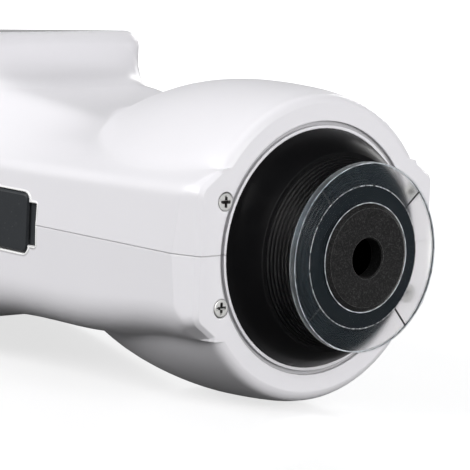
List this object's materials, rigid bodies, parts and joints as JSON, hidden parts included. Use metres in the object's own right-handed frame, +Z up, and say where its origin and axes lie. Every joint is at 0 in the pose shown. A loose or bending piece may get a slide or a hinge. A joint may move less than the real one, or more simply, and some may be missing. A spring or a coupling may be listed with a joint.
{
  "type": "handheld colorimeter",
  "caption": "Handheld colorimeter: a measuring nose with a sphere behind its aperture, a sloping display and keys on top, ports under a rubber flap, and a battery door in the heel.",
  "frame": {"origin": "on the surface that the instrument stands on, under the middle of its box", "axes": "+X along the measuring axis out of the nose, -Y to the side with the port flap, +Z up"},
  "size_m": [0.205, 0.0675, 0.0691],
  "materials": {
    "white_shell": "semi-gloss, very fine texture",
    "satin_black": "satin, finely turned",
    "textured_black": "fine speckled texture",
    "clear_acrylic": "clear, polished",
    "bright_screw": "bright plated",
    "steel": "zinc plated",
    "aluminium": "machined",
    "sphere_white": "matt reflective coating",
    "lens_glass": "clear",
    "circuit_board": "solder resist",
    "chip_black": "moulded",
    "lamp_white": "phosphor",
    "window_glass": "clear over a dark border",
    "display_black": "unlit display",
    "ribbon": "polyimide",
    "flap_rubber": "soft matt rubber",
    "grey_key": "satin keys",
    "battery_wrap": "shrink wrap",
    "foot_rubber": "soft rubber"
  },
  "bodies": {
    "housing": {"top_shell": "white_shell", "bottom_shell": "white_shell", "shell_screws": "steel", "nose_collar": "satin_black", "locator_disc": "clear_acrylic", "aperture_plate": "textured_black", "face_screws": "bright_screw", "nose_carrier": "aluminium", "sphere_front": "sphere_white", "sphere_rear": "sphere_white", "sphere_screws": "steel", "sensor_barrel": "satin_black", "sensor_lens": "lens_glass", "sensor_board": "circuit_board", "light_sensor": "chip_black", "lamp_board": "circuit_board", "lamp": "lamp_white", "display_window": "window_glass", "lcd_module": "display_black", "display_ribbon": "ribbon", "main_board": "circuit_board", "board_screws": "steel", "processor": "chip_black", "buzzer": "chip_black", "key_switches": "chip_black", "flap_anchor": "flap_rubber", "port_panel": "satin_black", "port_board": "circuit_board", "usb_socket": "bright_screw", "dc_jack": "chip_black", "test_board": "circuit_board", "test_switch": "chip_black", "battery_pack": "battery_wrap", "battery_contacts": "chip_black", "battery_door": "white_shell", "door_screw": "steel", "feet": "foot_rubber", "strap_bar": "steel"},
    "flap": {"port_flap": "flap_rubber"},
    "test_key": {"test_button": "grey_key"},
    "key_enter_body": {"key_enter": "grey_key"},
    "key_up_body": {"key_up": "grey_key"},
    "key_down_body": {"key_down": "grey_key"},
    "key_back_body": {"key_back": "grey_key"},
    "key_power_body": {"key_power": "grey_key"}
  },
  "joints": [
    {"name": "port_flap_hinge", "type": "hinge", "parent": "housing", "child": "flap", "pos_m": [0.0371, -0.032, 0.0328], "axis": [0, 0, 1], "range_deg": [0, 90]},
    {"name": "test_button_press", "type": "slide", "parent": "housing", "child": "test_key", "axis": [0, -1, 0], "range_m": [0, 0.0007], "stiffness_N_per_m": 900, "springref_m": -0.0006},
    {"name": "key_enter_press", "type": "slide", "parent": "housing", "child": "key_enter_body", "axis": [0.0767, 0, -0.9971], "range_m": [0, 0.0005], "stiffness_N_per_m": 900, "springref_m": -0.0005},
    {"name": "key_up_press", "type": "slide", "parent": "housing", "child": "key_up_body", "axis": [0.0767, 0, -0.9971], "range_m": [0, 0.0005], "stiffness_N_per_m": 900, "springref_m": -0.0005},
    {"name": "key_down_press", "type": "slide", "parent": "housing", "child": "key_down_body", "axis": [0.0767, 0, -0.9971], "range_m": [0, 0.0005], "stiffness_N_per_m": 900, "springref_m": -0.0005},
    {"name": "key_back_press", "type": "slide", "parent": "housing", "child": "key_back_body", "axis": [0.0767, 0, -0.9971], "range_m": [0, 0.0005], "stiffness_N_per_m": 900, "springref_m": -0.0005},
    {"name": "key_power_press", "type": "slide", "parent": "housing", "child": "key_power_body", "axis": [0.0767, 0, -0.9971], "range_m": [0, 0.0005], "stiffness_N_per_m": 900, "springref_m": -0.0005}
  ]
}
